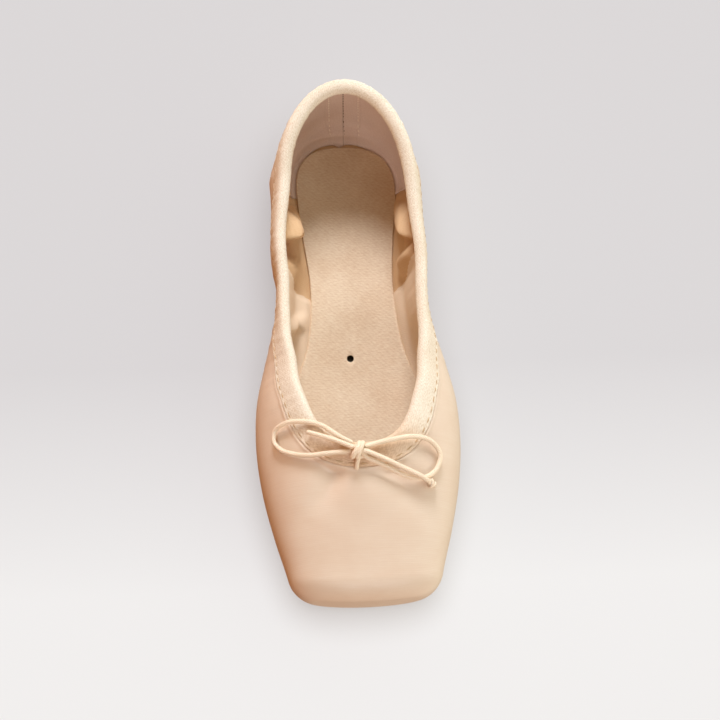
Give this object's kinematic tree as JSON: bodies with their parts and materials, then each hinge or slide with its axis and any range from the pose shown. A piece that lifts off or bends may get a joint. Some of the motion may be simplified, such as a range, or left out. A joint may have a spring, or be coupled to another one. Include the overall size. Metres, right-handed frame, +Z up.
{
  "type": "pointe shoe",
  "caption": "Satin pointe shoe with a stiff box and flat toe platform, drawstring binding with a small cord bow, and a narrow leather sole.",
  "frame": {"origin": "on the floor, under the middle of the shoe's length and width", "axes": "+Y from toe to heel, +X to the right seen from the toe with the sole down, +Z up"},
  "size_m": [0.0862, 0.226, 0.0547],
  "materials": {
    "satin": "peach satin, fine weft across, soft sheen",
    "sole_leather": "natural tan leather, lightly scored",
    "insole_cloth": "brushed peach cloth",
    "binding_tape": "matte ivory twill tape",
    "elastic_cord": "cream braided elastic cord"
  },
  "bodies": {
    "root": {"upper": "satin", "outsole": "sole_leather", "insole": "insole_cloth", "drawstring_casing": "binding_tape", "bow_knot": "elastic_cord", "bow_loop_left": "elastic_cord", "bow_loop_right": "elastic_cord", "bow_end_left": "elastic_cord", "bow_end_right": "elastic_cord"}
  },
  "joints": []
}
